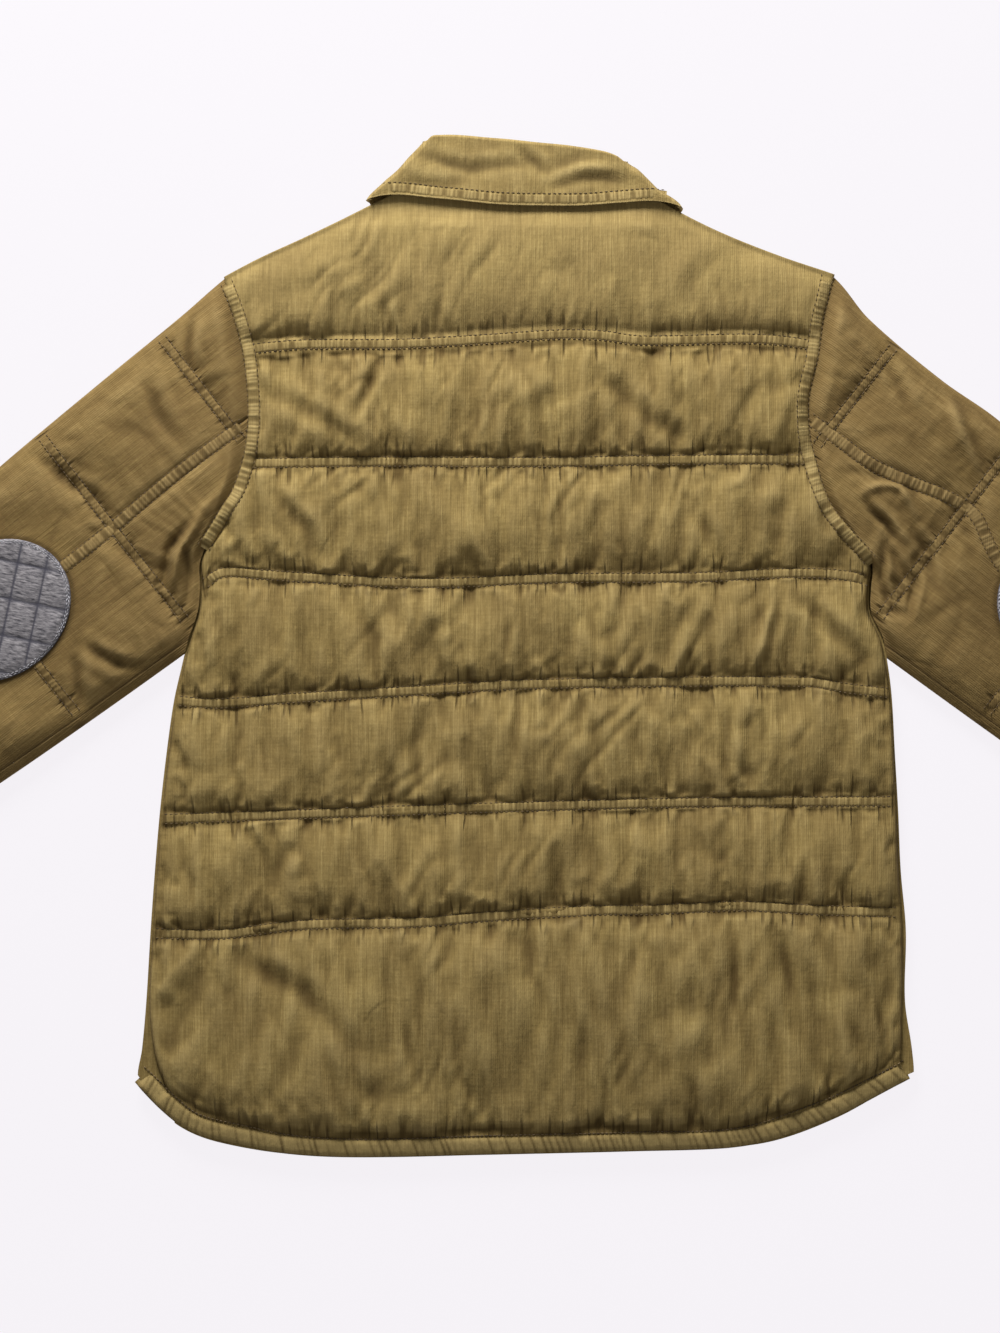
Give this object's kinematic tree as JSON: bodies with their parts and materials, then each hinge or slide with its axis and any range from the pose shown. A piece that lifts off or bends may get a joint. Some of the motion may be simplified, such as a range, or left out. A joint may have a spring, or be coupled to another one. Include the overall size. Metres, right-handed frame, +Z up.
{
  "type": "quilted shirt jacket",
  "caption": "Child's quilted needlecord shirt jacket laid out face down, with a folded shirt collar, curved hem and padded elbow patches.",
  "frame": {"origin": "middle of the underside, where the jacket lies on the surface", "axes": "+X to the wearer's right, +Y from the hem up to the collar, +Z up from the surface through the back"},
  "size_m": [1.0202, 0.5964, 0.0164],
  "materials": {
    "body_cord": "khaki olive needlecord, garment dyed, paler where seams are worn",
    "sleeve_cord": "khaki brown needlecord, a little smoother than the body",
    "grey_marl": "heathered grey jersey, quilted in squares",
    "dark_horn": "dark brown horn-look button"
  },
  "bodies": {
    "root": {"back_yoke": "body_cord", "back_panel": "body_cord", "left_front": "body_cord", "right_front": "body_cord", "button_stand": "body_cord", "collar_leaf": "body_cord", "collar_stand": "body_cord", "button_1": "dark_horn", "button_2": "dark_horn", "button_3": "dark_horn", "button_4": "dark_horn", "button_5": "dark_horn", "button_6": "dark_horn", "left_under_sleeve": "sleeve_cord", "left_upper_sleeve": "sleeve_cord", "left_cuff": "sleeve_cord", "left_elbow_patch": "grey_marl", "right_under_sleeve": "sleeve_cord", "right_upper_sleeve": "sleeve_cord", "right_cuff": "sleeve_cord", "right_elbow_patch": "grey_marl"}
  },
  "joints": []
}
